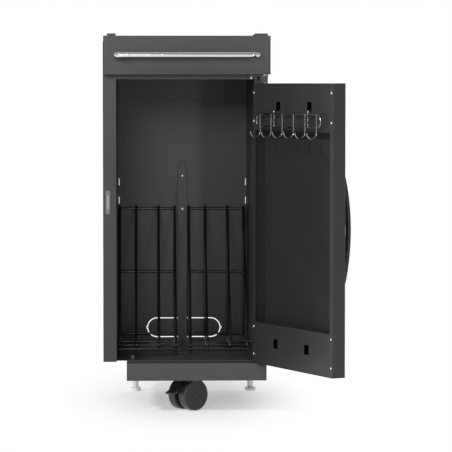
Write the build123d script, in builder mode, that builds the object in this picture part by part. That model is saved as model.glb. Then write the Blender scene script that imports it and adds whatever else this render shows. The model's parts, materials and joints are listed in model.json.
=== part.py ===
"""A narrow outdoor-kitchen storage cabinet in sheet steel, with its door standing open.

Frame: the origin is on the floor under the cabinet's centreline, at the front face of the
stiles. X runs to the right, -Y out of the front, +Z up. All sizes are in millimetres.
"""
from build123d import *
from math import cos, radians, sin
import os

# ---------------------------------------------------------------- driving dimensions
body_width = 394.0
body_depth = 480.0
body_bottom = 120.0
body_top = 888.0
sheet = 1.2
stile_width = 32.0
floor_top = 124.0
ceiling_height = 798.0

fascia_depth = 35.0
fascia_left_inset = 1.5
fascia_right_overhang = 5.0
fascia_bottom = 808.0
fascia_top = 900.0

plinth_left_inset = 56.0
plinth_right_inset = 4.0
plinth_bottom = 78.0
plinth_overhang = 35.0
plinth_back = 470.0

door_reveal = 4.0
door_bottom = 121.0
door_top = 787.0
door_depth = 33.5
door_lip = 13.0
door_angle = 115.0
pivot_inset = 9.0
pivot_y = -28.0
pivot_from_end = 10.0
pivot_from_face = 7.0
pin_radius = 4.0
bush_radius = 6.5
running_fit = 0.05

bar_diameter = 12.5
bar_standoff = 42.0
bar_height = 854.0
bar_length = 332.0

wire = 5.5
rack_pin_y = 185.0
rack_pin_z = 152.0
rack_top = 478.0
rack_front = 175.0
rack_back = 468.0
rack_foot = 138.0
rack_width = 140.0

wheel_radius = 37.5
caster_width = 62.0
caster_trail = 25.0
stem_y = 56.0
caster_heading = 219.0

# ---------------------------------------------------------------- derived places
half_width = body_width / 2
half_opening = half_width - stile_width
inner_wall = half_width - sheet
body_back = body_depth + sheet
liner_outer = half_opening + sheet
door_width = body_width - door_reveal
pivot_x = half_width - pivot_inset
fascia_left = fascia_left_inset - half_width
fascia_right = half_width + fascia_right_overhang
plinth_left = plinth_left_inset - half_width
plinth_right = half_width - plinth_right_inset
stem_x = (plinth_left + plinth_right) / 2
fascia_face = -fascia_depth
bar_y = fascia_face - bar_standoff
fascia_middle = (fascia_left + fascia_right) / 2


def slab(x0, x1, y0, y1, z0, z1, mode=Mode.ADD):
    """A flat sheet or bar between two opposite corners, in the part being built."""
    with Locations(((x0 + x1) / 2, (y0 + y1) / 2, (z0 + z1) / 2)):
        Box(abs(x1 - x0), abs(y1 - y0), abs(z1 - z0), mode=mode)


def rod(start, end, radius, mode=Mode.ADD):
    """A straight round rod between two points, in the part being built."""
    axis = Vector(*end) - Vector(*start)
    with BuildSketch(Plane(origin=start, z_dir=axis)) as section:
        Circle(radius)
    extrude(section.sketch, amount=axis.length, mode=mode)


def bent_wire(points, radius, bend):
    """A round wire along straight runs that are joined by equal bends."""
    with BuildLine() as path:
        FilletPolyline(*points, radius=bend)
    with BuildSketch(Plane(origin=path.line @ 0, z_dir=path.line % 0)) as section:
        Circle(radius)
    sweep(section.sketch, path=path.line)


# ---------------------------------------------------------------- cabinet shell
catch_x = half_width - 11.5
catch_z = 503.0
catch_width = 11.0
catch_height = 57.0
catch_depth = 12.0


def side_panel(side, tab_inner, tab_outer):
    """An outer side skin with its stile, rear flange, bottom and top flanges, and top tab."""
    flange = 18.0
    tab_top = 906.0
    with BuildPart() as panel:
        slab(side * inner_wall, side * half_width, 0, body_depth, body_bottom, body_top)
        slab(side * half_opening, side * inner_wall, 0, sheet, body_bottom, body_top)
        slab(side * (half_width - flange), side * inner_wall, body_depth - sheet, body_depth,
             body_bottom, body_top)
        slab(side * (half_width - flange), side * inner_wall, sheet, body_depth - sheet,
             floor_top - 2 * sheet, floor_top - sheet)
        slab(side * (half_width - flange), side * inner_wall, sheet, body_depth - sheet,
             body_top - 2 * sheet, body_top - sheet)
        slab(side * tab_inner, side * tab_outer, 0, sheet, body_top, tab_top)
        if side < 0:
            slab(-catch_x - catch_width / 2, -catch_x + catch_width / 2, 0, sheet,
                 catch_z - catch_height / 2, catch_z + catch_height / 2, mode=Mode.SUBTRACT)
    return panel


left_side_panel = side_panel(-1, half_opening + 1, half_width - 10)
right_side_panel = side_panel(1, half_opening + 1, half_width)


def inner_liner(side):
    """The flat inner wall beside the opening, with a rear flange and two pin holes."""
    flange = 11.0
    pin_hole_radius = wire / 2
    spare_hole_radius = 3.0
    spare_hole_y = 200.0
    spare_hole_z = 288.0
    with BuildPart() as liner:
        slab(side * half_opening, side * liner_outer, sheet, body_depth, floor_top, ceiling_height)
        slab(side * liner_outer, side * (liner_outer + flange), body_depth - sheet, body_depth,
             floor_top, ceiling_height)
        rod((side * (half_opening - 2), rack_pin_y, rack_pin_z),
            (side * (liner_outer + 2), rack_pin_y, rack_pin_z),
            pin_hole_radius + running_fit, mode=Mode.SUBTRACT)
        rod((side * (half_opening - 2), spare_hole_y, spare_hole_z),
            (side * (liner_outer + 2), spare_hole_y, spare_hole_z),
            spare_hole_radius, mode=Mode.SUBTRACT)
    return liner


left_inner_liner = inner_liner(-1)
right_inner_liner = inner_liner(1)

port_x = 3.6
port_z = 159.0
port_length = 189.0
port_height = 51.0
port_gap = 2.4
port_notch = 3.2
ear_overlap = 3.0
vent_x = half_opening - 2.7
vent_rows = (487.0, 534.0)
vent_width = 1.2
vent_height = 18.0

with BuildPart() as back_panel:
    slab(-half_width, half_width, body_depth, body_back, body_bottom, body_top)
    back_plane = Plane(origin=(0, body_back, 0), x_dir=(1, 0, 0), z_dir=(0, -1, 0))
    with BuildSketch(back_plane):
        with Locations((port_x, port_z)):
            SlotOverall(port_length, port_height)
            with Locations((-port_length / 2, 0), (port_length / 2, 0),
                           (0, -port_height / 2), (0, port_height / 2)):
                Circle(port_notch)
        with Locations([(x, z) for x in (-vent_x, vent_x) for z in vent_rows]):
            Rectangle(vent_width, vent_height)
    extrude(amount=sheet, mode=Mode.SUBTRACT)

with BuildPart() as hose_port_cover:
    with BuildSketch(Plane(origin=(port_x, body_depth, port_z), x_dir=(1, 0, 0), z_dir=(0, -1, 0))):
        SlotOverall(port_length - 2 * port_gap, port_height - 2 * port_gap)
    extrude(amount=-sheet)
    ear_long = port_length / 2 + port_notch + ear_overlap
    ear_tall = port_height / 2 + port_notch + ear_overlap
    slab(port_x - ear_long, port_x + ear_long, body_back, body_back + sheet, port_z - 1, port_z + 1)
    slab(port_x - 1, port_x + 1, body_back, body_back + sheet, port_z - ear_tall, port_z + ear_tall)

rib_width = 24.0
rib_depth = 6.0
rib_top = 587.0
rib_taper = 30.0

with BuildPart() as back_stiffener:
    rib_plane = Plane(origin=(0, body_depth, 0), x_dir=(1, 0, 0), z_dir=(0, -1, 0))
    with BuildSketch(rib_plane):
        with BuildLine():
            Polyline((-rib_width / 2, floor_top), (rib_width / 2, floor_top),
                     (rib_width / 2, rib_top - rib_taper), (rib_width / 6, rib_top),
                     (-rib_width / 6, rib_top), (-rib_width / 2, rib_top - rib_taper), close=True)
        make_face()
    extrude(amount=rib_depth)
    rib_back = back_stiffener.faces().sort_by(Axis.Y)[-1]
    offset(amount=-sheet, openings=rib_back)

rivet_radius = 2.5
rivet_rise = 0.5
back_rivet_rows = (465.0, 550.0)
with BuildPart() as back_rivets:
    with BuildSketch(Plane(origin=(0, body_depth - rib_depth - rivet_rise, 0),
                           x_dir=(1, 0, 0), z_dir=(0, -1, 0))):
        with Locations([(0, z) for z in back_rivet_rows]):
            Circle(rivet_radius)
    extrude(amount=-rivet_rise)

with BuildPart() as floor_pan:
    slab(-inner_wall, inner_wall, sheet, body_depth - sheet, floor_top - sheet, floor_top)
    slab(-half_opening, half_opening, 0, sheet, floor_top - sheet, floor_top)
    slab(plinth_left, half_opening, 0, sheet, body_bottom, floor_top - sheet)
    slab(plinth_left + 20, plinth_right - 20, body_depth - 14, body_depth - 14 - sheet,
         body_bottom, floor_top - sheet)

with BuildPart() as plinth:
    slab(plinth_left, plinth_right, -plinth_overhang, plinth_back, plinth_bottom, body_bottom)
    fillet(plinth.edges().filter_by(Axis.Z), radius=2.0)
    plinth_underside = plinth.faces().sort_by(Axis.Z)[0]
    offset(amount=-sheet, openings=plinth_underside)

rail_bottom = 796.8
rail_slot_length = 9.0
rail_slot_height = 3.2
with BuildPart() as front_top_rail:
    slab(-half_width, half_width, -sheet, 0, rail_bottom, body_top)
    slab(-half_opening, half_opening, 0, 22, rail_bottom, ceiling_height)
    with BuildSketch(Plane(origin=(0, 0, 0), x_dir=(1, 0, 0), z_dir=(0, -1, 0))):
        with Locations((24 - half_width, rail_bottom + 5.7)):
            SlotOverall(rail_slot_length, rail_slot_height)
    extrude(amount=sheet, mode=Mode.SUBTRACT)

rear_rail_depth = 20.0
rear_rail_bottom = 748.0
rear_rail_face = body_depth - rear_rail_depth
with BuildPart() as rear_top_rail:
    slab(-half_opening, half_opening, rear_rail_face, rear_rail_face + sheet,
         rear_rail_bottom, ceiling_height)
    slab(-half_opening, half_opening, rear_rail_face + sheet, body_depth,
         rear_rail_bottom, rear_rail_bottom + sheet)

with BuildPart() as ceiling_liner:
    slab(-inner_wall, inner_wall, sheet, body_depth - sheet, ceiling_height, ceiling_height + sheet)

worktop_hole_radius = 3.0
deck_lip = 18.0
with BuildPart() as top_deck:
    slab(-inner_wall, inner_wall, sheet, body_depth - sheet, body_top - sheet, body_top)
    slab(-half_opening, half_opening, sheet, 2 * sheet, body_top - deck_lip, body_top - sheet)
    with Locations((0, body_depth / 2, body_top)):
        with GridLocations(300, 400, 2, 2):
            Hole(worktop_hole_radius, depth=sheet)

fascia_back = -sheet
with BuildPart() as fascia_panel:
    slab(fascia_left, fascia_right, fascia_face, fascia_back, fascia_bottom, fascia_top)
    fillet(fascia_panel.edges().filter_by(Axis.Z).sort_by(Axis.Y)[:2], radius=2.0)
    slab(fascia_left + sheet, fascia_right - sheet, fascia_face + sheet, fascia_back - sheet,
         fascia_bottom + sheet, fascia_top - sheet, mode=Mode.SUBTRACT)
    slab(fascia_left + 12, fascia_right - 12, fascia_back - sheet, fascia_back,
         fascia_bottom + 12, fascia_top - 12, mode=Mode.SUBTRACT)

with BuildPart() as corner_gusset:
    with BuildSketch(Plane(origin=(0, sheet, 0), x_dir=(1, 0, 0), z_dir=(0, -1, 0))):
        with BuildLine():
            Polyline((half_opening - 14, body_top), (half_opening + 1, body_top),
                     (half_opening + 1, 904), (half_opening - 2, 904), close=True)
        make_face()
    extrude(amount=sheet)

# ---------------------------------------------------------------- towel bar
bar_left = fascia_middle - bar_length / 2
bar_right = fascia_middle + bar_length / 2
bar_flare = 4.0
with BuildPart() as towel_bar:
    bent_wire([(bar_left - bar_flare, fascia_face, bar_height), (bar_left, bar_y, bar_height),
               (bar_right, bar_y, bar_height), (bar_right + bar_flare, fascia_face, bar_height)],
              bar_diameter / 2, 13.0)
    slab(fascia_left, fascia_right, fascia_face, fascia_face + 12,
         bar_height - 12, bar_height + 12, mode=Mode.SUBTRACT)

with BuildPart() as towel_bar_screws:
    for foot_x in (bar_left - bar_flare, bar_right + bar_flare):
        rod((foot_x, fascia_face + sheet, bar_height), (foot_x, fascia_face + 4.5, bar_height), 5.5)

# ---------------------------------------------------------------- hinge
bracket_height = 803.5
bracket_sheet = 2.5
bracket_corner = 2.0
bracket_left = pivot_x - 38
bracket_front = pivot_y - 7
bracket_back = -sheet - bracket_sheet
with BuildPart() as hinge_top_bracket:
    slab(bracket_left, half_width, bracket_front, -sheet, bracket_height, bracket_height + bracket_sheet)
    slab(bracket_left, half_width, bracket_back, -sheet, rail_bottom, bracket_height)
    fillet(hinge_top_bracket.edges().filter_by(Axis.Z).sort_by(Axis.Y)[:2], radius=bracket_corner)
    slab(pivot_x - 10, half_width - bracket_corner, bracket_front, bracket_front + bracket_sheet,
         door_top + 1.5, bracket_height)

with BuildPart() as hinge_bottom_bracket:
    bracket_top = body_bottom - sheet
    slab(pivot_x - 28, plinth_right - sheet, -plinth_overhang + sheet + 1, 12,
         bracket_top - bracket_sheet, bracket_top)

bush_flange = 0.5
pin_head_radius = 5.5
pin_head_height = 1.5
pin_engagement = 12.0
with BuildPart() as hinge_pins:
    rod((pivot_x, pivot_y, door_top - pin_engagement), (pivot_x, pivot_y, bracket_height), pin_radius)
    rod((pivot_x, pivot_y, bracket_height + bracket_sheet),
        (pivot_x, pivot_y, bracket_height + bracket_sheet + pin_head_height), pin_head_radius)
    rod((pivot_x, pivot_y, body_bottom), (pivot_x, pivot_y, door_bottom + pin_engagement), pin_radius)

hinge_screw_z = 800.2
with BuildPart() as hinge_screws:
    for screw_x in (pivot_x - 31, pivot_x - 4):
        rod((screw_x, bracket_back - 1.2, hinge_screw_z), (screw_x, bracket_back, hinge_screw_z), 2.8)

# ---------------------------------------------------------------- magnetic catch and clips
pole_half_width = 3.0
pole_half_height = 17.0
pole_depth = 8.0
with BuildPart() as catch_housing:
    slab(-catch_x - catch_width / 2, -catch_x + catch_width / 2, 0, catch_depth,
         catch_z - catch_height / 2, catch_z + catch_height / 2)
    slab(-catch_x - pole_half_width, -catch_x + pole_half_width, 0, pole_depth,
         catch_z - pole_half_height, catch_z + pole_half_height, mode=Mode.SUBTRACT)

with BuildPart() as catch_pole_plate:
    slab(-catch_x - pole_half_width, -catch_x + pole_half_width, 0, pole_depth,
         catch_z - pole_half_height, catch_z + pole_half_height)

with BuildPart() as catch_screws:
    for screw_z in (catch_z - 22, catch_z + 22):
        rod((-catch_x, -0.4, screw_z), (-catch_x, 0, screw_z), 2.5)

stop_left = 10 + plinth_left
stop_right = stop_left + 8.5
stop_front = 14.0
with BuildPart() as door_stop_clip:
    slab(stop_left, stop_right, stop_front, stop_front + sheet, floor_top, floor_top + 11)
    slab(stop_left, stop_right, stop_front + sheet, stop_front + 12, floor_top, floor_top + sheet)

centre_left = -16.0
centre_right = 11.0
centre_sheet = 1.5
centre_front = rack_pin_y - 20
centre_back = rack_pin_y + 20
with BuildPart() as rack_centre_bracket:
    slab(centre_left, centre_right, centre_front, centre_back, floor_top, floor_top + centre_sheet)
    for wall_x in (centre_left, centre_right - centre_sheet):
        slab(wall_x, wall_x + centre_sheet, centre_front, centre_back,
             floor_top + centre_sheet, rack_pin_z + 12)
    rod((centre_left - 4, rack_pin_y, rack_pin_z), (centre_right + 4, rack_pin_y, rack_pin_z),
        wire / 2 + running_fit, mode=Mode.SUBTRACT)

with BuildPart() as rack_back_clip:
    slab(-20, -14, body_depth - 5, body_depth, rack_top + 6, rack_top + 28)

body_screw_rows = (180, 380, 580, 780)
with BuildPart() as body_screws:
    for screw_z in body_screw_rows:
        for screw_x in (-half_width + 9, half_width - 9):
            rod((screw_x, body_back, screw_z), (screw_x, body_back + 1.6, screw_z), 3.5)

# ---------------------------------------------------------------- door
opening_direction = radians(180 + door_angle)
along = Vector(cos(opening_direction), sin(opening_direction), 0)
inward = Vector(along.Y, -along.X, 0)


def door_point(u, w, z):
    """A point u along the door from its hinge end, w in from its outer face."""
    return Vector(pivot_x, pivot_y, 0) + along * (u - pivot_from_end) \
        + inward * (w - pivot_from_face) + Vector(0, 0, z)


def door_face(w):
    """A drawing plane parallel to the door, x along it from the hinge end and y up."""
    return Plane(origin=door_point(0, w, 0), x_dir=along, z_dir=inward)


def door_sheet(u0, u1, w0, w1, z0, z1, mode=Mode.ADD):
    """A flat block in the door's own directions, in the part being built."""
    plan = Plane(origin=door_point(0, 0, z0), x_dir=along, z_dir=(0, 0, 1))
    with BuildSketch(plan) as section:
        with Locations(((u0 + u1) / 2, -(w0 + w1) / 2)):
            Rectangle(u1 - u0, w1 - w0)
    extrude(section.sketch, amount=z1 - z0, mode=mode)


inner_face = door_depth - sheet
plate_back = inner_face - sheet
with BuildPart() as door_shell:
    door_sheet(0, door_width, 0, door_depth, door_bottom, door_top)
    upright_edges = door_shell.edges().filter_by(Axis.Z)
    hinge_corner = door_point(0, door_depth, (door_bottom + door_top) / 2)
    swing_edge = upright_edges.sort_by_distance(hinge_corner)[0]
    fillet(swing_edge, radius=3.0)
    fillet(door_shell.edges().filter_by(Axis.Z).sort_by_distance(hinge_corner)[2:], radius=1.5)
    door_sheet(sheet, door_width - sheet, sheet, inner_face, door_bottom + sheet, door_top - sheet,
               mode=Mode.SUBTRACT)
    door_sheet(door_lip, door_width - door_lip, inner_face, door_depth,
               door_bottom + sheet, door_top - sheet, mode=Mode.SUBTRACT)
    rod(door_point(pivot_from_end, pivot_from_face, door_bottom - 1),
        door_point(pivot_from_end, pivot_from_face, door_top + 1), bush_radius, mode=Mode.SUBTRACT)


slot_size = 22.0


def hook_plate(z0, z1, slot_shift, slot_z):
    """A stiffening plate across the door's inner face, with two slots for hangers."""
    slot_half_pitch = 76.0
    with BuildPart() as plate:
        door_sheet(sheet, door_width - sheet, plate_back, inner_face, z0, z1)
        for slot_u in (door_width / 2 + slot_shift - slot_half_pitch,
                       door_width / 2 + slot_shift + slot_half_pitch):
            door_sheet(slot_u - slot_size / 2, slot_u + slot_size / 2, plate_back, inner_face,
                       slot_z - slot_size / 2, slot_z + slot_size / 2, mode=Mode.SUBTRACT)
    return plate


upper_plate_bottom = 676.0
lower_plate_top = 220.0
upper_slot_z = 733.0
lower_slot_z = 175.0
door_upper_plate = hook_plate(upper_plate_bottom, door_top - sheet, 6, upper_slot_z)
door_lower_plate = hook_plate(door_bottom + sheet, lower_plate_top, -6, lower_slot_z)

door_rivet_rows = (143.0, 209.0, 698.0, 765.0)
with BuildPart() as door_rivets:
    for rivet_z in door_rivet_rows:
        for rivet_u in (6.0, door_width - 6.0):
            rod(door_point(rivet_u, door_depth, rivet_z),
                door_point(rivet_u, door_depth + rivet_rise, rivet_z), rivet_radius)

handle_u = door_width - 40
handle_bottom = 325.0
handle_top = 581.0
handle_leg = 20.0
handle_rise = 34.0
handle_thickness = 9.0
handle_width = 14.0
handle_middle = (handle_bottom + handle_top) / 2
with BuildPart() as door_handle:
    side_view = Plane(origin=door_point(handle_u - handle_width / 2, 0, 0), x_dir=-inward, z_dir=along)
    side_x = side_view.y_dir.Z
    with BuildSketch(side_view):
        with BuildLine():
            ThreePointArc((handle_leg, side_x * (handle_bottom + 6)), (handle_rise, side_x * handle_middle),
                          (handle_leg, side_x * (handle_top - 6)))
            Line((handle_leg, side_x * (handle_top - 6)), (0, side_x * handle_top))
            Line((0, side_x * handle_top), (0, side_x * (handle_top - 16)))
            Line((0, side_x * (handle_top - 16)), (handle_leg - handle_thickness, side_x * (handle_top - 20)))
            ThreePointArc((handle_leg - handle_thickness, side_x * (handle_top - 20)),
                          (handle_rise - handle_thickness, side_x * handle_middle),
                          (handle_leg - handle_thickness, side_x * (handle_bottom + 20)))
            Line((handle_leg - handle_thickness, side_x * (handle_bottom + 20)),
                 (0, side_x * (handle_bottom + 16)))
            Line((0, side_x * (handle_bottom + 16)), (0, side_x * handle_bottom))
            Line((0, side_x * handle_bottom), (handle_leg, side_x * (handle_bottom + 6)))
        make_face()
    extrude(amount=handle_width)

with BuildPart() as handle_screws:
    for screw_z in (handle_bottom + 8, handle_top - 8):
        rod(door_point(handle_u, sheet, screw_z), door_point(handle_u, sheet + 2.5, screw_z), 3.5)

with BuildPart() as door_bushes:
    for bush_bottom in (door_bottom - bush_flange, door_top - 7):
        rod(door_point(pivot_from_end, pivot_from_face, bush_bottom),
            door_point(pivot_from_end, pivot_from_face, bush_bottom + 7), bush_radius)
    rod(door_point(pivot_from_end, pivot_from_face, door_bottom - 1),
        door_point(pivot_from_end, pivot_from_face, door_top + 1), pin_radius + running_fit,
        mode=Mode.SUBTRACT)

# ---------------------------------------------------------------- hook rack on the door
hook_wire = 3.8
hook_count = 6
hook_pitch = 55.0
first_hook = door_width / 2 - 130.5
ring_low = 685.0
ring_high = 715.0
ring_start = door_width / 2 - 155
ring_end = door_width / 2 + 157
rack_standoff = 10.0
ring_w = door_depth + rack_standoff
ring_radius = (ring_high - ring_low) / 2
with BuildPart() as hook_ring:
    with BuildLine(door_face(ring_w)) as ring_path:
        Line((ring_start + ring_radius, ring_high), (ring_end - ring_radius, ring_high))
        ThreePointArc((ring_end - ring_radius, ring_high), (ring_end, ring_low + ring_radius),
                      (ring_end - ring_radius, ring_low))
        Line((ring_end - ring_radius, ring_low), (ring_start + ring_radius, ring_low))
        ThreePointArc((ring_start + ring_radius, ring_low), (ring_start, ring_low + ring_radius),
                      (ring_start + ring_radius, ring_high))
    with BuildSketch(Plane(origin=ring_path.line @ 0, z_dir=ring_path.line % 0)):
        Circle(hook_wire / 2)
    sweep(path=ring_path.line)

hook_w = ring_w + hook_wire
hook_drop = 661.0
hook_curl = 25.0
hook_bend = hook_curl / 2 - 0.1
hook_tip = 14.0
with BuildPart() as hook_wires:
    for number in range(hook_count):
        u = first_hook + number * hook_pitch
        bent_wire([door_point(u, hook_w, ring_high + 1), door_point(u, hook_w, hook_drop),
                   door_point(u, hook_w + hook_curl, hook_drop),
                   door_point(u, hook_w + hook_curl, hook_drop + hook_tip)], hook_wire / 2, hook_bend)

hanger_z = upper_slot_z - slot_size / 2 + hook_wire / 2 + 0.3
with BuildPart() as hook_hangers:
    for number in (1, 4):
        u = first_hook + number * hook_pitch
        bent_wire([door_point(u, ring_w - hook_wire, ring_low - 1),
                   door_point(u, ring_w - hook_wire, hanger_z),
                   door_point(u, plate_back - 8, hanger_z),
                   door_point(u, plate_back - 8, hanger_z - 15)], hook_wire / 2, 4.0)

# ---------------------------------------------------------------- tray-divider racks
divider_offsets = (-70.0, -28.5, 28.5, 70.0)
left_rack_middle = -90.0
right_rack_middle = 86.0
cross_back_y = rack_back + wire - 0.4
back_wire_rows = (rack_foot + 6, 304.0, 466.0)
foot_wire_places = (rack_front + 2, 277.0, 367.0)
cross_z = rack_foot - wire + 0.4


def rack_dividers(middle):
    """Four upright triangular wire loops that keep trays apart."""
    with BuildPart() as dividers:
        for offset_x in divider_offsets:
            x = middle + offset_x
            bent_wire([(x, rack_back, rack_foot + 40), (x, rack_back, rack_foot),
                       (x, rack_front, rack_foot), (x, rack_front + 10, rack_foot + 14),
                       (x, rack_back - 4, rack_top), (x, rack_back, rack_top - 30),
                       (x, rack_back, rack_foot + 42)], wire / 2, 4.0)
    return dividers


def rack_cross_wires(middle):
    """The straight wires across the back and under the foot of a rack."""
    reach = rack_width / 2 + wire / 2
    with BuildPart() as wires:
        for z in back_wire_rows:
            rod((middle - reach, cross_back_y, z), (middle + reach, cross_back_y, z), wire / 2)
        for y in foot_wire_places:
            rod((middle - reach, y, cross_z), (middle + reach, y, cross_z), wire / 2)
    return wires


def rack_pins(middle, outer_end, inner_end):
    """The two short pins that the rack tilts on."""
    low, high = sorted((outer_end, inner_end))
    reach = rack_width / 2 + wire / 2 - 0.4
    with BuildPart() as pins:
        rod((low, rack_pin_y, rack_pin_z), (middle - reach, rack_pin_y, rack_pin_z), wire / 2)
        rod((middle + reach, rack_pin_y, rack_pin_z), (high, rack_pin_y, rack_pin_z), wire / 2)
    return pins


left_rack_dividers = rack_dividers(left_rack_middle)
left_rack_cross_wires = rack_cross_wires(left_rack_middle)
left_rack_pins = rack_pins(left_rack_middle, -liner_outer - 3, centre_left + 2.5)
right_rack_dividers = rack_dividers(right_rack_middle)
right_rack_cross_wires = rack_cross_wires(right_rack_middle)
right_rack_pins = rack_pins(right_rack_middle, liner_outer + 3, centre_right - 2.5)

# ---------------------------------------------------------------- underside
channel_height = 2 * wheel_radius + 23
caster_plate_thickness = 2.5


def cross_channel(y0, y1):
    """A channel under the plinth's top that carries a caster or the feet."""
    with BuildPart() as channel:
        slab(plinth_left + sheet, plinth_right - sheet, y0, y1, channel_height, body_bottom - sheet)
        slab(plinth_left + sheet, plinth_right - sheet, y0 + sheet, y1 - sheet,
             channel_height + sheet, body_bottom - sheet, mode=Mode.SUBTRACT)
    return channel


caster_channel = cross_channel(stem_y - 36, stem_y + 36)
foot_y = 435.0
foot_channel = cross_channel(foot_y - 25, foot_y + 25)

post_radius = 8.0
pad_radius = 14.0
pad_height = 9.0
foot_places = [(plinth_left + 20, foot_y), (plinth_right - 20, foot_y)]
with BuildPart() as foot_posts:
    for x, y in foot_places:
        rod((x, y, 4), (x, y, channel_height), post_radius)

with BuildPart() as foot_pads:
    for x, y in foot_places:
        rod((x, y, 0), (x, y, pad_height), pad_radius)
        rod((x, y, 4), (x, y, pad_height), post_radius, mode=Mode.SUBTRACT)

kingpin_radius = 6.0
plate_bottom = channel_height - caster_plate_thickness
with BuildPart() as caster_plate:
    slab(stem_x - 30, stem_x + 30, stem_y - 30, stem_y + 30, plate_bottom, channel_height)
    rod((stem_x, stem_y, plate_bottom - 12), (stem_x, stem_y, plate_bottom), kingpin_radius)

trail = Vector(cos(radians(caster_heading)), sin(radians(caster_heading)), 0)
across = Vector(trail.Y, -trail.X, 0)
axle_middle = Vector(stem_x, stem_y, wheel_radius) + trail * caster_trail
web_half = 6.5
wheel_gap = 1.5
axle_radius = 4.0


def caster_side(distance):
    """A drawing plane square to the axle, x along the trail and y up."""
    return Plane(origin=axle_middle + across * distance, x_dir=trail, z_dir=across)


lever_pivot = (25.5, 22.0)
lever_pin_radius = 1.5
lever_slot_half = 2.8
with BuildPart() as caster_hood:
    with BuildSketch(caster_side(-web_half)):
        Circle(27)
        with BuildLine():
            Polyline((-caster_trail - 15, 22), (-caster_trail + 17, 12), (26, 12), (29.5, 20), (28, 25),
                     (24, 31), (-caster_trail + 15, wheel_radius + 8.5),
                     (-caster_trail - 15, wheel_radius + 8.5), close=True)
        make_face()
    extrude(amount=2 * web_half)
    with BuildSketch(caster_side(-lever_slot_half)):
        with Locations((30, 24)):
            Rectangle(20, 30)
    extrude(amount=2 * lever_slot_half, mode=Mode.SUBTRACT)
    with BuildSketch(caster_side(-web_half)):
        with Locations(lever_pivot):
            Circle(lever_pin_radius)
    extrude(amount=2 * web_half, mode=Mode.SUBTRACT)
    rod((stem_x, stem_y, 2 * wheel_radius + 3.5), (stem_x, stem_y, plate_bottom - 0.3), 17)
    rod((stem_x, stem_y, plate_bottom - 12.3), (stem_x, stem_y, plate_bottom), kingpin_radius + running_fit,
        mode=Mode.SUBTRACT)
    with BuildSketch(caster_side(-web_half)):
        Circle(axle_radius)
    extrude(amount=2 * web_half, mode=Mode.SUBTRACT)

with BuildPart() as brake_pin:
    with BuildSketch(caster_side(-web_half)):
        with Locations(lever_pivot):
            Circle(lever_pin_radius)
    extrude(amount=2 * web_half)

axle_half = caster_width / 2 - 5
with BuildPart() as caster_axle:
    with BuildSketch(caster_side(-axle_half)):
        Circle(axle_radius)
    extrude(amount=2 * axle_half)

tread = 4.5
core_radius = wheel_radius - tread


def wheel_core(side):
    """A nylon wheel disc with a blind bore and a small hub circle in its outer face."""
    inner = side * (web_half + wheel_gap)
    outer = side * caster_width / 2
    start, end = sorted((inner, outer))
    with BuildPart() as core:
        with BuildSketch(caster_side(start)):
            Circle(core_radius)
        extrude(amount=end - start)
        bore_start, bore_end = sorted((inner, side * (axle_half + 0.5)))
        with BuildSketch(caster_side(bore_start)):
            Circle(axle_radius + running_fit)
        extrude(amount=bore_end - bore_start, mode=Mode.SUBTRACT)
        groove_start, groove_end = sorted((outer, outer - side * 0.8))
        with BuildSketch(caster_side(groove_start)):
            Circle(9.5)
            Circle(8.6, mode=Mode.SUBTRACT)
        extrude(amount=groove_end - groove_start, mode=Mode.SUBTRACT)
    return core


def wheel_tyre(side):
    """The tread ring round a wheel disc, with rounded shoulders."""
    start, end = sorted((side * (web_half + wheel_gap), side * caster_width / 2))
    with BuildPart() as tyre:
        with BuildSketch(caster_side(start)):
            Circle(wheel_radius)
            Circle(core_radius, mode=Mode.SUBTRACT)
        extrude(amount=end - start)
        outer_edges = tyre.edges().filter_by(GeomType.CIRCLE).group_by(SortBy.RADIUS)[-1]
        fillet(outer_edges, radius=3.0)
    return tyre


near_wheel_core = wheel_core(-1)
near_wheel_tyre = wheel_tyre(-1)
far_wheel_core = wheel_core(1)
far_wheel_tyre = wheel_tyre(1)

lever_inner = wheel_radius + 1.5
lever_outer = lever_inner + 4.5
lever_half = 16.0
tang_half = 2.5
with BuildPart() as brake_lever:
    with BuildSketch(caster_side(-lever_half)):
        with BuildLine():
            start_angle, end_angle = radians(46), radians(12)
            middle_angle = (start_angle + end_angle) / 2
            outer_arc = ThreePointArc(
                (lever_outer * cos(start_angle), lever_outer * sin(start_angle)),
                (lever_outer * cos(middle_angle), lever_outer * sin(middle_angle)),
                (lever_outer * cos(end_angle) + 3, lever_outer * sin(end_angle) + 4))
            Line(outer_arc @ 1, (wheel_radius + 20, 7))
            Line((wheel_radius + 20, 7), (wheel_radius + 20, 3))
            Line((wheel_radius + 20, 3), (lever_inner * cos(end_angle), lever_inner * sin(end_angle)))
            inner_arc = ThreePointArc(
                (lever_inner * cos(end_angle), lever_inner * sin(end_angle)),
                (lever_inner * cos(middle_angle), lever_inner * sin(middle_angle)),
                (lever_inner * cos(start_angle), lever_inner * sin(start_angle)))
            Line(inner_arc @ 1, outer_arc @ 0)
        make_face()
    extrude(amount=2 * lever_half)
    with BuildSketch(caster_side(-tang_half)):
        with BuildLine():
            Polyline((24.0, 25.0), (27.0, 19.0), (36.0, 21.0), (32.0, 27.5), close=True)
        make_face()
        with Locations(lever_pivot):
            Circle(3.6)
            Circle(lever_pin_radius + running_fit, mode=Mode.SUBTRACT)
    extrude(amount=2 * tang_half)
    with BuildSketch(caster_side(-tang_half)):
        with Locations(lever_pivot):
            Circle(lever_pin_radius + running_fit)
    extrude(amount=2 * tang_half, mode=Mode.SUBTRACT)

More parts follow.
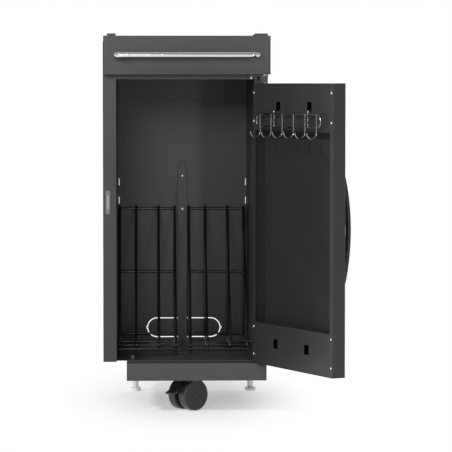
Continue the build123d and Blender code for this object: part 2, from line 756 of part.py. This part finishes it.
# ---------------------------------------------------------------- export
pieces = {
    "left_side_panel": left_side_panel, "right_side_panel": right_side_panel,
    "left_inner_liner": left_inner_liner, "right_inner_liner": right_inner_liner,
    "back_panel": back_panel, "hose_port_cover": hose_port_cover,
    "back_stiffener": back_stiffener, "back_rivets": back_rivets,
    "floor_pan": floor_pan, "plinth": plinth,
    "front_top_rail": front_top_rail, "rear_top_rail": rear_top_rail,
    "ceiling_liner": ceiling_liner, "top_deck": top_deck,
    "fascia_panel": fascia_panel, "corner_gusset": corner_gusset,
    "towel_bar": towel_bar, "towel_bar_screws": towel_bar_screws,
    "hinge_top_bracket": hinge_top_bracket, "hinge_bottom_bracket": hinge_bottom_bracket,
    "hinge_pins": hinge_pins, "hinge_screws": hinge_screws,
    "catch_housing": catch_housing, "catch_pole_plate": catch_pole_plate,
    "catch_screws": catch_screws, "door_stop_clip": door_stop_clip,
    "rack_centre_bracket": rack_centre_bracket, "rack_back_clip": rack_back_clip,
    "body_screws": body_screws, "door_shell": door_shell,
    "door_upper_plate": door_upper_plate, "door_lower_plate": door_lower_plate,
    "door_rivets": door_rivets, "door_handle": door_handle,
    "handle_screws": handle_screws, "door_bushes": door_bushes,
    "hook_ring": hook_ring, "hook_wires": hook_wires, "hook_hangers": hook_hangers,
    "left_rack_dividers": left_rack_dividers, "left_rack_cross_wires": left_rack_cross_wires,
    "left_rack_pins": left_rack_pins, "right_rack_dividers": right_rack_dividers,
    "right_rack_cross_wires": right_rack_cross_wires, "right_rack_pins": right_rack_pins,
    "caster_channel": caster_channel, "foot_channel": foot_channel,
    "foot_posts": foot_posts, "foot_pads": foot_pads, "caster_plate": caster_plate,
    "caster_hood": caster_hood, "caster_axle": caster_axle,
    "near_wheel_core": near_wheel_core, "near_wheel_tyre": near_wheel_tyre,
    "far_wheel_core": far_wheel_core, "far_wheel_tyre": far_wheel_tyre,
    "brake_pin": brake_pin, "brake_lever": brake_lever,
}
os.makedirs("parts", exist_ok=True)
for name, piece in pieces.items():
    piece.part.label = name
    export_step(piece.part, f"parts/{name}.step")
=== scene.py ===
"""A narrow black outdoor-kitchen cabinet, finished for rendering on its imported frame.

Metres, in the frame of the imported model: the floor is z = 0, the stiles' front faces are at
y = 0 and the doorway looks along -Y. The sections follow the cabinet as it is put together.
"""
import json
import math

import bpy
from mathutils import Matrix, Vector


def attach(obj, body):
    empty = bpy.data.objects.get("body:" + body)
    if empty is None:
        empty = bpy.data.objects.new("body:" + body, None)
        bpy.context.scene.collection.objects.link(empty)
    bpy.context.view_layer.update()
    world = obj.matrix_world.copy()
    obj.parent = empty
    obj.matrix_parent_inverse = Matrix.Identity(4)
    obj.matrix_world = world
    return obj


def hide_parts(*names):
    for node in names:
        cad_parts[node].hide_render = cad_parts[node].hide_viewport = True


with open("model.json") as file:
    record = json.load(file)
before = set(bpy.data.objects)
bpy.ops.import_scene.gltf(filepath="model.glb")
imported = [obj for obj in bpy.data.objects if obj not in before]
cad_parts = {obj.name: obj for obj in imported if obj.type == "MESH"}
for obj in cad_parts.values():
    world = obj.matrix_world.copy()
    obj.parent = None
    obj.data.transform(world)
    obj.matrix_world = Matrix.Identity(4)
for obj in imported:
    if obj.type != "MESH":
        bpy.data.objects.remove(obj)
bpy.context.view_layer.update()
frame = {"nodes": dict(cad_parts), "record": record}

bodies = frame["record"]["behaviour"]["bodies"]

# ------------------------------------------------------------------ sheet-steel shell
# Folded sheet steel, 1.2 mm thick: side skins, liners, back, floor, plinth, rails and top.
# Every part is powder coated satin black before it is riveted together, so the skin has a
# fine orange peel and a faint cloudiness, and most folded edges are softly rounded.


def feed(tree, socket, value):
    """Give a socket a value, or link it to a shader value."""
    if isinstance(value, Shade):
        tree.links.new(value.value, socket)
    else:
        socket.default_value = value


class Shade:
    """A node's output, with arithmetic. An input named i0, i1 and so on goes by its place."""

    def __init__(self, tree, value):
        self.tree = tree
        self.value = value

    def node(self, kind, settings=None, **inputs):
        """Add a node with its settings, then its inputs as values or links."""
        made = self.tree.nodes.new(kind)
        for name, value in (settings or {}).items():
            setattr(made, name, value)
        for name, value in inputs.items():
            numbered = name[0] == "i" and name[1:].isdigit()
            socket = made.inputs[int(name[1:]) if numbered else name.replace("_", " ")]
            feed(self.tree, socket, value)
        return made

    def out(self, kind, output=0, settings=None, **inputs):
        """One output of a new node, as a shader value."""
        return Shade(self.tree, self.node(kind, settings, **inputs).outputs[output])

    def _math(self, operation, a, b):
        return self.out("ShaderNodeMath", 0, {"operation": operation}, i0=a, i1=b)

    def __add__(self, other):
        return self._math("ADD", self, other)

    def __radd__(self, other):
        return self._math("ADD", other, self)

    def __sub__(self, other):
        return self._math("SUBTRACT", self, other)

    def __rsub__(self, other):
        return self._math("SUBTRACT", other, self)

    def __mul__(self, other):
        return self._math("MULTIPLY", self, other)

    def __rmul__(self, other):
        return self._math("MULTIPLY", other, self)

    def mixed(self, dark, pale):
        """A colour between two, by this value."""
        return self.out("ShaderNodeMix", 2, {"data_type": "RGBA"}, i0=self, i6=dark, i7=pale)


def finish_named(name):
    """A new material with an empty principled shader, and its shader-maths root."""
    material = bpy.data.materials.new(name)
    material.use_nodes = True
    tree = material.node_tree
    shader = tree.nodes["Principled BSDF"]
    return material, Shade(tree, None), shader


def noise(shade, scale, detail):
    """A noise value over the piece's own place, in features per metre."""
    place = shade.out("ShaderNodeTexCoord", "Object")
    return shade.out("ShaderNodeTexNoise", 0, None, Vector=place, Scale=scale, Detail=detail)


def put(shade, shader, **inputs):
    """Give the shader's sockets their values or links."""
    for name, value in inputs.items():
        feed(shade.tree, shader.inputs[name.replace("_", " ")], value)


def powder_coat(name, dark, pale, roughness):
    """Satin powder coat: orange peel, a cloudy tone and small changes of gloss."""
    cloud_gloss = 0.10
    peel_gloss = 0.08
    cloud_scale = 9.0
    peel_scale = 900.0
    fine_scale = 2600.0
    material, shade, shader = finish_named(name)
    cloud = noise(shade, cloud_scale, 3.0)
    peel = noise(shade, peel_scale, 2.0)
    fine = noise(shade, fine_scale, 1.0)
    height = peel * 0.7 + fine * 0.3
    bump = shade.out("ShaderNodeBump", 0, None, Strength=0.22, Distance=0.0004, Height=height)
    put(shade, shader, Base_Color=cloud.mixed(dark, pale), Metallic=0.0,
        Roughness=roughness + (cloud - 0.5) * cloud_gloss + (peel - 0.5) * peel_gloss, Normal=bump,
        Specular_IOR_Level=0.5)
    return material


def eased_copy(node, width, segments, material):
    """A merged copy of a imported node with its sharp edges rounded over, in its place."""
    merge_distance = 0.00002
    flat_angle = math.radians(1.0)
    crease_angle = math.radians(30.0)
    source = frame["nodes"][node]
    piece = bpy.data.objects.new(node + "_finished", source.data.copy())
    bpy.context.scene.collection.objects.link(piece)
    bpy.ops.object.select_all(action="DESELECT")
    piece.select_set(True)
    bpy.context.view_layer.objects.active = piece
    bpy.ops.object.mode_set(mode="EDIT")
    bpy.ops.mesh.select_all(action="SELECT")
    bpy.ops.mesh.remove_doubles(threshold=merge_distance)
    bpy.ops.mesh.dissolve_limited(angle_limit=flat_angle)
    bpy.ops.object.mode_set(mode="OBJECT")
    bpy.ops.object.shade_smooth_by_angle(angle=crease_angle)
    rounding = piece.modifiers.new("rounding", "BEVEL")
    rounding.width = width
    rounding.segments = segments
    rounding.limit_method = "ANGLE"
    rounding.angle_limit = crease_angle
    rounding.use_clamp_overlap = True
    rounding.harden_normals = True
    bpy.ops.object.modifier_apply(modifier=rounding.name)
    piece.data.materials.clear()
    piece.data.materials.append(material)
    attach(piece, next(body for body, nodes in bodies.items() if node in nodes))
    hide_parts(node)
    return piece


body_coat = powder_coat("satin_black_coat", dark=(0.017, 0.017, 0.018, 1),
                        pale=(0.024, 0.024, 0.025, 1), roughness=0.35)
plinth_coat = powder_coat("plinth_coat", dark=(0.030, 0.030, 0.031, 1),
                          pale=(0.040, 0.040, 0.041, 1), roughness=0.44)


def coat(material, *nodes):
    """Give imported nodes, which keep their own meshes, a finish."""
    for node in nodes:
        for slot in frame["nodes"][node].material_slots:
            slot.material = material


fold_radius = 0.0006
wide_fold_radius = 0.0012
for node in ("left_side_panel", "right_side_panel", "left_inner_liner", "right_inner_liner",
             "back_panel", "hose_port_cover", "back_stiffener", "floor_pan", "front_top_rail",
             "rear_top_rail", "top_deck", "corner_gusset", "hinge_top_bracket",
             "hinge_bottom_bracket", "door_stop_clip", "rack_centre_bracket", "rack_back_clip"):
    eased_copy(node, fold_radius, segments=2, material=body_coat)
coat(body_coat, "ceiling_liner", "caster_channel", "foot_channel")
eased_copy("fascia_panel", wide_fold_radius, segments=3, material=body_coat)
eased_copy("plinth", wide_fold_radius, segments=3, material=plinth_coat)

# ------------------------------------------------------------------ door pan
# One sheet folded up on four sides and returned inwards as a lip, with a stiffening plate
# riveted across the inside at the top and the bottom. Its corners are welded and ground.
pan_fold_radius = 0.0010
eased_copy("door_shell", pan_fold_radius, segments=3, material=body_coat)
for node in ("door_upper_plate", "door_lower_plate"):
    eased_copy(node, fold_radius, segments=2, material=body_coat)

# ------------------------------------------------------------------ towel bar
# A bent stainless tube, 12.5 mm across, polished along its length and screwed to the
# fascia from behind. The polishing leaves fine lines along the tube and a soft sheen.
lines_along_and_across = (40.0, 2500.0, 2500.0)
bar_finish, shade, shader = finish_named("polished_tube")
place = shade.out("ShaderNodeTexCoord", "Object")
stretched = shade.out("ShaderNodeMapping", 0, None, Vector=place, Scale=lines_along_and_across)
brushing = shade.out("ShaderNodeTexNoise", 0, None, Vector=stretched, Scale=1.0, Detail=2.0)
bump = shade.out("ShaderNodeBump", 0, None, Strength=0.06, Distance=0.0002, Height=brushing)
put(shade, shader, Base_Color=(0.72, 0.72, 0.71, 1), Metallic=1.0,
    Roughness=0.09 + brushing * 0.07, Normal=bump)
coat(bar_finish, "towel_bar")

# ------------------------------------------------------------------ rivets, screws and pins
# Small fasteners: cloudy bright zinc on most of them, and on the rivets and hinge screws a pale
# colour that is partly the alloy's own and partly a painted glint: the base is made pale and only
# slightly metallic, so they show as bright spots without reflecting a lamp. The rivets are flat
# discs with rounded rims, and the hinge, handle and body screws have driver sockets.


def clouded(name, dark, pale, scale, detail, metallic, gloss, spread):
    """A smooth finish whose tone and gloss both wander a little."""
    material, shade, shader = finish_named(name)
    cloud = noise(shade, scale, detail)
    put(shade, shader, Base_Color=cloud.mixed(dark, pale), Metallic=metallic,
        Roughness=gloss + cloud * spread)
    return material


def screw_heads(node, material):
    """Rounded heads, with a driver socket sunk in each end that looks out of the cabinet."""
    head_rounding = 0.0005
    socket_rim = 0.0009
    socket_depth = 0.0005
    flat_share = 0.6
    cabinet_inside = Vector((0.0, 0.2, 0.0))
    both_ends = node == "handle_screws"  # these sit on the open door
    heads = eased_copy(node, head_rounding, segments=3, material=material)
    bpy.ops.object.select_all(action="DESELECT")
    heads.select_set(True)
    bpy.context.view_layer.objects.active = heads
    largest = max(face.area for face in heads.data.polygons)
    for face in heads.data.polygons:
        outward = both_ends or face.normal.dot(face.center - cabinet_inside) > 0
        face.select = face.area > largest * flat_share and outward
    bpy.ops.object.mode_set(mode="EDIT")
    bpy.ops.mesh.select_mode(type="FACE")
    bpy.ops.mesh.inset(thickness=socket_rim, use_individual=True)
    bpy.ops.mesh.extrude_faces_move(TRANSFORM_OT_shrink_fatten={"value": -socket_depth})
    bpy.ops.object.mode_set(mode="OBJECT")


zinc = clouded("bright_zinc", dark=(0.62, 0.63, 0.65, 1), pale=(0.80, 0.81, 0.82, 1),
               scale=300.0, detail=3.0, metallic=1.0, gloss=0.24, spread=0.16)
# Pale base with little metal: partly the rivet alloy's own colour, partly a painted glint that makes
# the rivets bright spots.
rivet_tone_and_glint = clouded("pale_rivets_painted_glint", dark=(0.80, 0.80, 0.80, 1), pale=(0.92, 0.92, 0.91, 1),
                      scale=400.0, detail=2.0, metallic=0.25, gloss=0.34, spread=0.14)
rivet_rounding = 0.0004
for node in ("back_rivets", "door_rivets"):
    eased_copy(node, rivet_rounding, segments=4, material=rivet_tone_and_glint)
screw_heads("hinge_screws", rivet_tone_and_glint)
screw_heads("handle_screws", zinc)
screw_heads("body_screws", body_coat)
coat(zinc, "towel_bar_screws", "hinge_pins", "door_bushes", "caster_plate", "caster_axle",
     "brake_pin")

# ------------------------------------------------------------------ tray-divider racks
# Two welded wire racks, dipped in gloss black. The clear top of the coating gives long thin
# highlights along the wires.
wire_coat, shade, shader = finish_named("gloss_black_wire")
runs = noise(shade, 40.0, 2.0)
bump = shade.out("ShaderNodeBump", 0, None, Strength=0.05, Distance=0.0005, Height=runs)
put(shade, shader, Base_Color=(0.011, 0.011, 0.012, 1), Roughness=0.15 + runs * 0.08, Normal=bump,
    Specular_IOR_Level=0.7, Coat_Weight=0.5, Coat_Roughness=0.08)
coat(wire_coat, *bodies["left_rack"], *bodies["right_rack"])

# ------------------------------------------------------------------ hook rack
# Bent and welded steel wire, 3.8 mm across, with a dark chrome plate. The rack hangs by two
# hangers in slots of the door's upper plate, and lifts off.
dark_chrome = clouded("dark_chrome", dark=(0.20, 0.20, 0.21, 1), pale=(0.27, 0.27, 0.28, 1),
                      scale=60.0, detail=2.0, metallic=1.0, gloss=0.16, spread=0.08)
coat(dark_chrome, *bodies["hook_rack"])

# ------------------------------------------------------------------ magnetic catch
# A grey moulded housing on the left stile, held by two screws. The magnet inside it works
# through a ground steel pole plate.


def grained(name, dark, scale, relief, gloss, spread, pale=None):
    """A moulded finish with a fine raised grain, of one colour unless a paler one is given."""
    material, shade, shader = finish_named(name)
    grain = noise(shade, scale, 2.0)
    bump = shade.out("ShaderNodeBump", 0, None, Strength=relief, Distance=0.0003, Height=grain)
    colour = grain.mixed(dark, pale) if pale else dark
    put(shade, shader, Base_Color=colour, Roughness=gloss + grain * spread, Normal=bump)
    return material


grey_shell = grained("grey_catch_shell", dark=(0.10, 0.10, 0.10, 1), pale=(0.13, 0.13, 0.13, 1),
                     scale=1400.0, relief=0.18, gloss=0.40, spread=0.14)
housing_rounding = 0.0007
catch_screw_rounding = 0.0003
pole_rounding = 0.0005
eased_copy("catch_housing", housing_rounding, segments=3, material=grey_shell)
eased_copy("catch_screws", catch_screw_rounding, segments=3, material=grey_shell)
pole_steel = clouded("ground_pole_steel", dark=(0.20, 0.20, 0.21, 1), pale=(0.28, 0.28, 0.29, 1),
                     scale=700.0, detail=3.0, metallic=0.5, gloss=0.42, spread=0.12)
eased_copy("catch_pole_plate", pole_rounding, segments=2, material=pole_steel)

# ------------------------------------------------------------------ door handle
# A bow handle moulded in black plastic, with softly rounded edges. It is held from inside
# the door pan by two screws.
handle_black = (0.010, 0.010, 0.011, 1)
handle_rounding = 0.0028
handle_finish = grained("handle_black", handle_black, scale=700.0, relief=0.10,
                        gloss=0.26, spread=0.12)
eased_copy("door_handle", handle_rounding, segments=4, material=handle_finish)

# ------------------------------------------------------------------ caster and rear feet
# A braked twin-wheel swivel caster in black nylon under the middle of the plinth, and two
# plain rear feet with natural nylon pads.
nylon_black = (0.012, 0.012, 0.013, 1)
core_black = (0.016, 0.016, 0.017, 1)
nylon = grained("glossy_nylon", nylon_black, scale=500.0, relief=0.10,
                gloss=0.14, spread=0.10)
moulded = grained("black_moulding", core_black, scale=1400.0, relief=0.18,
                  gloss=0.42, spread=0.16)
hood_rounding = 0.0014
lever_rounding = 0.0012
core_rounding = 0.0003
pad_rounding = 0.0018
eased_copy("caster_hood", hood_rounding, segments=3, material=nylon)
eased_copy("brake_lever", lever_rounding, segments=3, material=nylon)
for node in ("near_wheel_core", "far_wheel_core"):
    eased_copy(node, core_rounding, segments=2, material=moulded)
tread_rubber = clouded("tread_rubber", dark=(0.020, 0.020, 0.021, 1), pale=(0.034, 0.034, 0.035, 1),
                       scale=260.0, detail=4.0, metallic=0.0, gloss=0.24, spread=0.16)
coat(tread_rubber, "near_wheel_tyre", "far_wheel_tyre")
pad_nylon = clouded("natural_nylon", dark=(0.74, 0.74, 0.71, 1), pale=(0.82, 0.82, 0.79, 1),
                    scale=90.0, detail=2.0, metallic=0.0, gloss=0.5, spread=0.1)
eased_copy("foot_pads", pad_rounding, segments=4, material=pad_nylon)
pale_zinc = clouded("pale_zinc", dark=(0.72, 0.73, 0.74, 1), pale=(0.82, 0.82, 0.83, 1),
                    scale=200.0, detail=2.0, metallic=0.6, gloss=0.40, spread=0.14)
coat(pale_zinc, "foot_posts")

# ------------------------------------------------------------------ floor, light and camera
# A white floor that glows more and more away from the cabinet, until it is plain white, and
# a glowing wall behind that is clear from its far side. Three soft boxes light the front.
stage_size = 16.0


def glowing(shade):
    """A white surface that gives its own light."""
    return shade.out("ShaderNodeEmission", 0, None, Color=(1, 1, 1, 1), Strength=1.0)


def paint(piece, material, share, first, second):
    """Give a stage piece two surfaces, mixed by share."""
    surface = share.out("ShaderNodeMixShader", 0, None, i0=share, i1=first, i2=second)
    feed(share.tree, share.tree.nodes["Material Output"].inputs["Surface"], surface)
    piece.data.materials.append(material)


bpy.ops.mesh.primitive_plane_add(size=stage_size, location=(0, 0, 0))
floor = bpy.context.object
floor.name = "studio_floor"
footprint_middle = (0.0, -0.35, 0.0)
footprint_stretch = (2.8, 1.15, 1.0)
glow_starts = 0.30
glow_full = 0.95
least_glow = 0.42
floor_paint, shade, shader = finish_named("studio_white")
put(shade, shader, Base_Color=(0.94, 0.94, 0.94, 1), Roughness=0.9, Specular_IOR_Level=0.2)
place = shade.out("ShaderNodeTexCoord", "Object")
footprint = shade.out("ShaderNodeMapping", 0, None, Vector=place,
                      Location=footprint_middle, Scale=footprint_stretch)
reach = shade.out("ShaderNodeVectorMath", "Value", {"operation": "LENGTH"}, i0=footprint)
far = shade.out("ShaderNodeMapRange", 0, {"interpolation_type": "SMOOTHSTEP"}, Value=reach,
                i1=glow_starts, i2=glow_full, i3=least_glow)
painted = Shade(floor_paint.node_tree, shader.outputs[0])
paint(floor, floor_paint, far, painted, glowing(shade))

bpy.ops.mesh.primitive_plane_add(size=stage_size, location=(0, 5.0, 4.0),
                                 rotation=(math.radians(90.0), 0, 0))
backdrop = bpy.context.object
backdrop.name = "studio_wall"
bpy.ops.object.transform_apply(location=True, rotation=True, scale=True)
wall_paint, shade, shader = finish_named("glowing_wall")
behind = shade.out("ShaderNodeNewGeometry", "Backfacing")
clear = shade.out("ShaderNodeBsdfTransparent", 0)
paint(backdrop, wall_paint, behind, glowing(shade), clear)

world_strength = 0.34
world = bpy.data.worlds.new("studio")
bpy.context.scene.world = world
world.use_nodes = True
sky = world.node_tree.nodes["Background"]
sky.inputs["Color"].default_value = (1, 1, 1, 1)
sky.inputs["Strength"].default_value = world_strength


def soft_box(name, place, aim, width, height, power):
    """A rectangular area lamp aimed at a point."""
    lamp = bpy.data.lights.new(name, "AREA")
    lamp.shape = "RECTANGLE"
    lamp.size = width
    lamp.size_y = height
    lamp.energy = power
    holder = bpy.data.objects.new(name, lamp)
    holder.location = place
    holder.rotation_euler = (Vector(aim) - Vector(place)).to_track_quat("-Z", "Y").to_euler()
    bpy.context.scene.collection.objects.link(holder)


soft_box("key", place=(-3.0, -2.4, 2.9), aim=(0.1, -0.1, 0.45), width=0.45, height=0.45, power=150.0)
soft_box("front", place=(-0.9, -4.8, 2.0), aim=(0.0, 0.4, 0.5), width=1.2, height=1.2, power=72.0)
soft_box("strip", place=(0.75, -2.6, 0.9), aim=(0.0, 0.3, 0.35), width=0.10, height=1.5, power=8.0)

camera_place = (-0.106, -6.300, 0.785)
camera_aim = Vector((0.097, 0.0, 0.446))
camera_data = bpy.data.cameras.new("camera")
camera_data.lens = 210.0
camera_data.sensor_width = 36.0
camera = bpy.data.objects.new("camera", camera_data)
camera.location = camera_place
camera.rotation_euler = (camera_aim - camera.location).to_track_quat("-Z", "Y").to_euler()
bpy.context.scene.collection.objects.link(camera)
bpy.context.scene.camera = camera
bpy.context.scene.view_settings.view_transform = "Standard"
